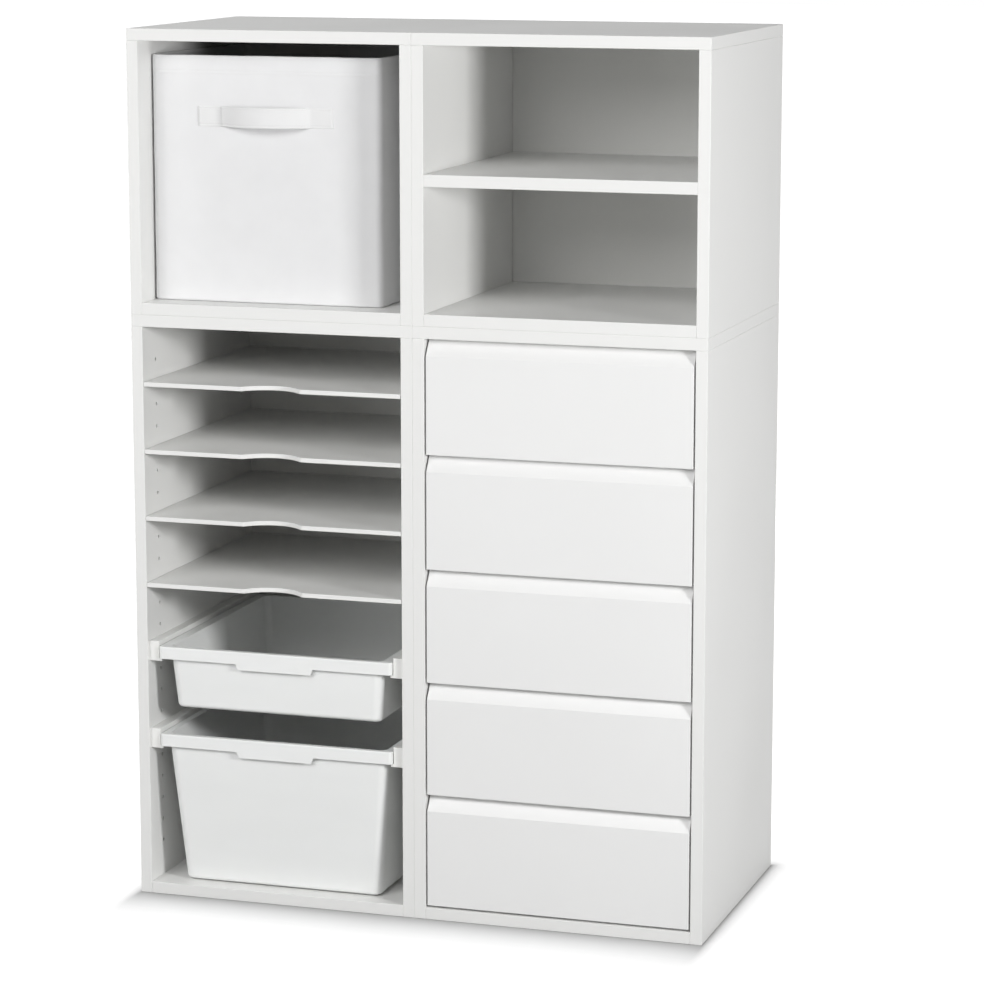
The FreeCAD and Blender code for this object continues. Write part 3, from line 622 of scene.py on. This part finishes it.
def strap_line():
    """Points along the strap's middle height, on the side that faces the wall."""
    z = (strap_low.z + strap_high.z) / 2
    start, end = strap_low.x, strap_high.x
    free_start, free_end = start + STRAP_TAB, end - STRAP_TAB
    points = []
    for part in range(TAB_PARTS + 1):
        points.append(strap_point(start + STRAP_TAB * part / TAB_PARTS, z, 0.0))
    for part in range(1, BOW_PARTS):
        share = part / BOW_PARTS
        x = free_start + (free_end - free_start) * share
        points.append(strap_point(x, z, bow(share)))
    for part in range(TAB_PARTS + 1):
        points.append(strap_point(free_end + STRAP_TAB * part / TAB_PARTS, z, 0.0))
    return points


def folded_edge(centre, start):
    """Half a turn round the fold at one edge of the strap's cross section."""
    edge = []
    radius = STRAP_THICKNESS / 2
    for part in range(FOLD_PARTS + 1):
        angle = math.radians(start + 180.0 * part / FOLD_PARTS)
        edge.append((centre + math.cos(angle) * radius, radius + math.sin(angle) * radius))
    return edge


def strap_section(half):
    """The strap's cross section: offsets across the width, and off its inner side."""
    section = folded_edge(half - STRAP_THICKNESS / 2, -90.0)
    for across in STRAP_ROWS + (0.0,) + tuple(-row for row in reversed(STRAP_ROWS)):
        furrow = STRAP_FURROW if abs(abs(across) - STRAP_SEAM) < STRAP_FURROW_REACH else 0.0
        crown = STRAP_CROWN * (1.0 - across * across)
        section.append((half * across, STRAP_THICKNESS + crown - furrow))
    return section + folded_edge(STRAP_THICKNESS / 2 - half, 90.0)


def strap_frames(line):
    """Each point with the direction off the wall there."""
    frames = []
    for index, point in enumerate(line):
        before = line[max(index - 1, 0)]
        after = line[min(index + 1, len(line) - 1)]
        along = (after - before).normalized()
        frames.append((point, along.cross(Vector((0.0, 0.0, 1.0)))))
    return frames


def build_strap():
    """The strap with its folded edges, and the seams along it and across its sewn ends."""
    half = (strap_high.z - strap_low.z) / 2
    frames = strap_frames(strap_line())
    section = strap_section(half)
    rings = []
    for point, out in frames:
        rings.append([point + out * lift + Vector((0.0, 0.0, across)) for across, lift in section])
    vertices, faces = skinned(rings)
    caps = {len(faces) - 1, len(faces) - 2}
    strap = mesh_piece("fabric_bin_strap", vertices, faces, "strap_fabric", "fabric_bin", caps)
    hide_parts("fabric_bin_handle")

    seams = []
    for level in (-STRAP_SEAM, STRAP_SEAM):
        up = Vector((0.0, 0.0, half * level))
        seams.append([(point + out * STRAP_THICKNESS + up, out) for point, out in frames])
    face = FRONT * (STRAP_THICKNESS + TAB_SEAM_LIFT)
    middle = (strap_low.z + strap_high.z) / 2
    ends = ((strap_low.x, strap_low.x + STRAP_TAB), (strap_high.x - STRAP_TAB, strap_high.x))
    for left, right in ends:
        xs = (left + TAB_SEAM_FROM, right - TAB_SEAM_TO)
        zs = (middle - half * TAB_SEAM_HEIGHT, middle + half * TAB_SEAM_HEIGHT)
        around = ((xs[0], zs[0]), (xs[1], zs[0]), (xs[1], zs[1]), (xs[0], zs[1]))
        corners = []
        for x, z in around:
            up = Vector((0.0, 0.0, z - middle))
            corners.append(strap_point(x, middle, 0.0) + face + up)
        for corner, following in zip(corners, corners[1:] + corners[:1]):
            seams.append([(corner, FRONT), (following, FRONT)])
    stitched_piece("fabric_bin_strap_stitches", seams, "strap_fabric")


# ---------------------------------------------------------------- stage, light and camera
OPEN_WHITE = (1.0, 1.0, 1.0, 1.0)


def seen_rays(tree):
    """1 for rays that should meet a white surround: from the camera, off gloss and through glass."""
    path = add_node(tree, "ShaderNodeLightPath").outputs
    seen = combine(tree, "MAXIMUM", path["Is Camera Ray"], path["Is Glossy Ray"])
    return combine(tree, "MAXIMUM", seen, path["Is Transmission Ray"])


def build_floor():
    """A plain pale floor that is white where it is open and keeps the object's shadow, with a painted
    shadow round the object's foot where its glow is held back.
    """
    mesh = bpy.data.meshes.new("floor")
    corners = [(x * FLOOR_REACH, y * FLOOR_REACH, 0.0) for x, y in ((-1, -1), (1, -1), (1, 1), (-1, 1))]
    mesh.from_pydata(corners, [], [(0, 1, 2, 3)])
    floor = bpy.data.objects.new("floor", mesh)
    bpy.context.scene.collection.objects.link(floor)
    floor.location.z = -FLOOR_DROP
    material = bpy.data.materials.new("floor")
    material.use_nodes = True
    tree = material.node_tree
    tree.nodes.clear()
    seen = seen_rays(tree)
    place = add_node(tree, "ShaderNodeTexCoord").outputs["Object"]
    axes = add_node(tree, "ShaderNodeSeparateXYZ", {"Vector": place}).outputs
    squares = 0.0
    for axis, toward, edge, fade in (
        ("X", 1.0, cad_high.x, PAINTED_SHADOW_FADE),
        ("X", -1.0, -cad_low.x, PAINTED_SHADOW_FADE),
        ("Y", 1.0, cad_high.y, PAINTED_SHADOW_FADE),
        ("Y", -1.0, -cad_low.y, FRONT_PAINTED_SHADOW_FADE),
    ):
        beyond = combine(tree, "SUBTRACT", combine(tree, "MULTIPLY", axes[axis], toward), edge)
        fades = combine(tree, "DIVIDE", combine(tree, "MAXIMUM", beyond, 0.0), fade)
        squares = combine(tree, "ADD", combine(tree, "POWER", fades, 2.0), squares)
    away = combine(tree, "SQRT", squares, 0.0)
    # painted shadow: the glow falls away towards the object's foot, over a longer fade in front
    painted_shadow_share = combine(tree, "POWER", math.e, combine(tree, "MULTIPLY", away, -1.0))
    glow_round_painted_shadow = combine(tree, "MULTIPLY", combine(tree, "SUBTRACT", 1.0, painted_shadow_share), GLOW_BESIDE)
    far_off = between(tree, away, *GLOW_SPREAD, 0.0, GLOW_FAR)
    glow = combine(tree, "MULTIPLY", seen, combine(tree, "ADD", glow_round_painted_shadow, far_off))
    level = between(tree, seen, 0.0, 1.0, FLOOR_BOUNCE, FLOOR_SEEN)
    channels = {"Red": level, "Green": level, "Blue": level}
    grey = add_node(tree, "ShaderNodeCombineColor", channels).outputs[0]
    lit = add_node(tree, "ShaderNodeBsdfDiffuse", {"Color": grey}).outputs[0]
    shine = add_node(tree, "ShaderNodeEmission", {"Color": OPEN_WHITE, "Strength": glow}).outputs[0]
    total = add_node(tree, "ShaderNodeAddShader", {0: lit, 1: shine}).outputs[0]
    add_node(tree, "ShaderNodeOutputMaterial", {"Surface": total})
    mesh.materials.append(material)


def build_world():
    """White behind the object; an even, weaker level as light."""
    world = bpy.data.worlds.new("studio")
    bpy.context.scene.world = world
    world.use_nodes = True
    tree = world.node_tree
    tree.nodes.clear()
    seen = seen_rays(tree)
    strength = between(tree, seen, 0.0, 1.0, WORLD_LEVEL, 1.0)
    background = add_node(tree, "ShaderNodeBackground", {"Color": OPEN_WHITE, "Strength": strength})
    add_node(tree, "ShaderNodeOutputWorld", {"Surface": background.outputs[0]})


def build_lamp(name, lamp):
    """An area lamp aimed at the object; a level of 1 shows a white card that faces it as white."""
    data = bpy.data.lights.new(name, "AREA")
    data.shape = "RECTANGLE"
    data.size, data.size_y = lamp["size"]
    turn = math.radians(lamp["turn"])
    place = Vector((math.sin(turn) * lamp["out"], -math.cos(turn) * lamp["out"], lamp["height"]))
    aim = OBJECT_MIDDLE - place
    data.energy = lamp["level"] * (math.pi * aim.length) ** 2
    light = bpy.data.objects.new(name, data)
    light.location = place
    light.rotation_euler = aim.to_track_quat("-Z", "Y").to_euler()
    bpy.context.scene.collection.objects.link(light)


def build_camera():
    """The camera at the photograph's viewing angle, for its square frame."""
    data = bpy.data.cameras.new("camera")
    data.sensor_width = SENSOR_WIDTH
    data.lens = FOCAL_PIXELS / IMAGE_SIDE * SENSOR_WIDTH
    data.clip_end = CLIP_END
    camera = bpy.data.objects.new("camera", data)
    camera.location = CAMERA_PLACE
    pitch, turn = math.radians(90.0 - CAMERA_PITCH_DEG), math.radians(CAMERA_TURN_DEG)
    camera.rotation_euler = Euler((pitch, 0.0, turn))
    bpy.context.scene.collection.objects.link(camera)
    bpy.context.scene.camera = camera


build_camera()
dress_frame()
bin_loop = build_bin_shell()
build_hem_seam(bin_loop)
build_strap()
build_floor()
build_world()
for lamp_name, lamp in (("key", KEY), ("soft", SOFT), ("fill", FILL), ("side", SIDE), ("back", BACK)):
    build_lamp(lamp_name, lamp)
bpy.context.scene.view_settings.view_transform = "Standard"
